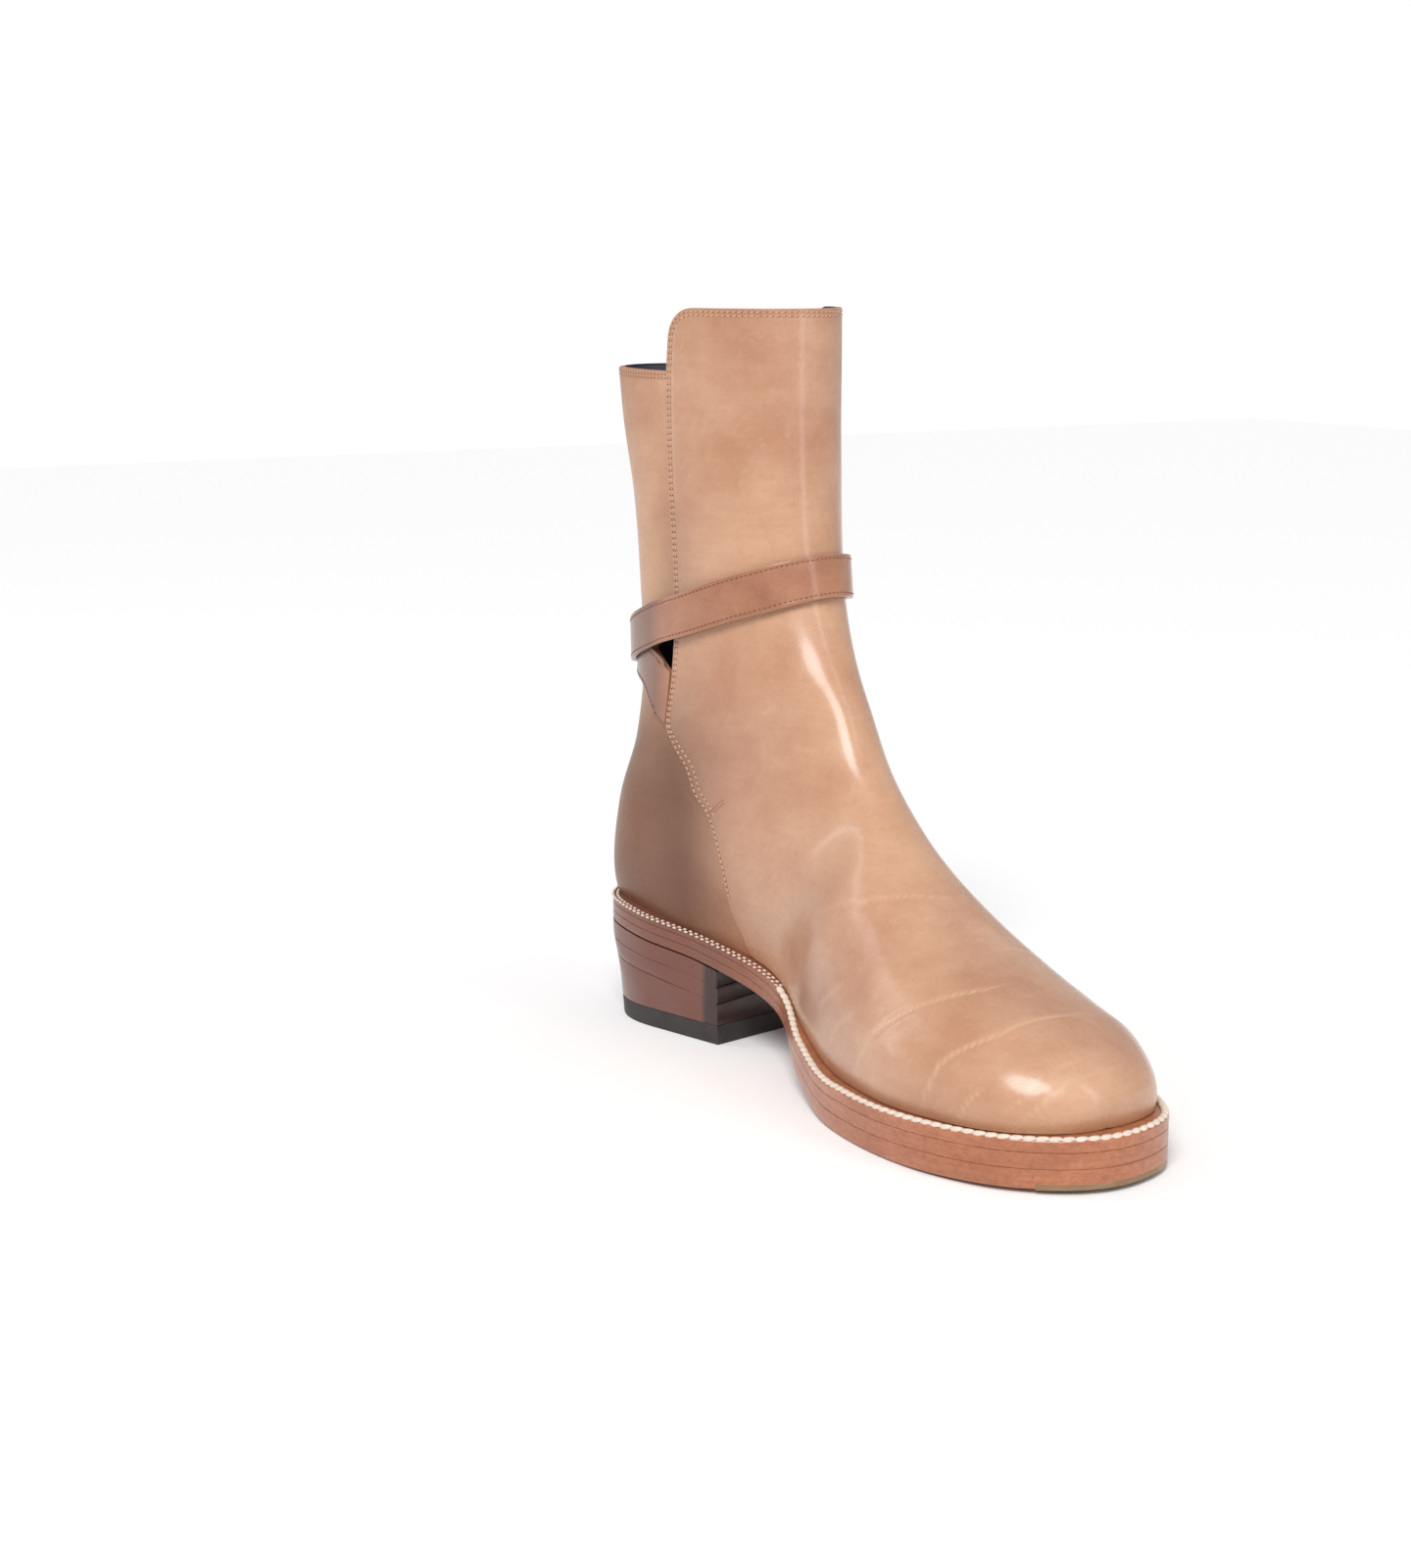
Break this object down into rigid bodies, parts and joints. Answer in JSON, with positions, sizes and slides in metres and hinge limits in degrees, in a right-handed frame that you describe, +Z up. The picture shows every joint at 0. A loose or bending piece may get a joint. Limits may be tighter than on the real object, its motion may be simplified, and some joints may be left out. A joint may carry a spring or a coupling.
{
  "type": "jodhpur boot",
  "caption": "Ankle-high jodhpur boot with a welted leather sole, stacked heel and buckled ankle strap, left foot.",
  "frame": {"origin": "on the floor under the turning point of the heel", "axes": "+X to the toe, +Y to the outer side, +Z up"},
  "size_m": [0.3004, 0.1003, 0.281],
  "materials": {
    "upper_leather": "satin",
    "strap_leather": "satin",
    "sole_leather": "polished",
    "heel_leather": "polished",
    "lift_rubber": "matte",
    "insole_leather": "matte",
    "plate_brass": "brushed",
    "buckle_brass": "polished"
  },
  "bodies": {
    "root": {"outsole": "sole_leather", "midsole": "sole_leather", "welt": "sole_leather", "toe_plate": "plate_brass", "top_lift": "lift_rubber", "heel_lift_1": "heel_leather", "heel_lift_2": "heel_leather", "heel_lift_3": "heel_leather", "upper": "upper_leather", "insole": "insole_leather", "strap_long": "strap_leather", "strap_short": "strap_leather", "buckle_frame": "buckle_brass", "buckle_prong": "buckle_brass"}
  },
  "joints": []
}
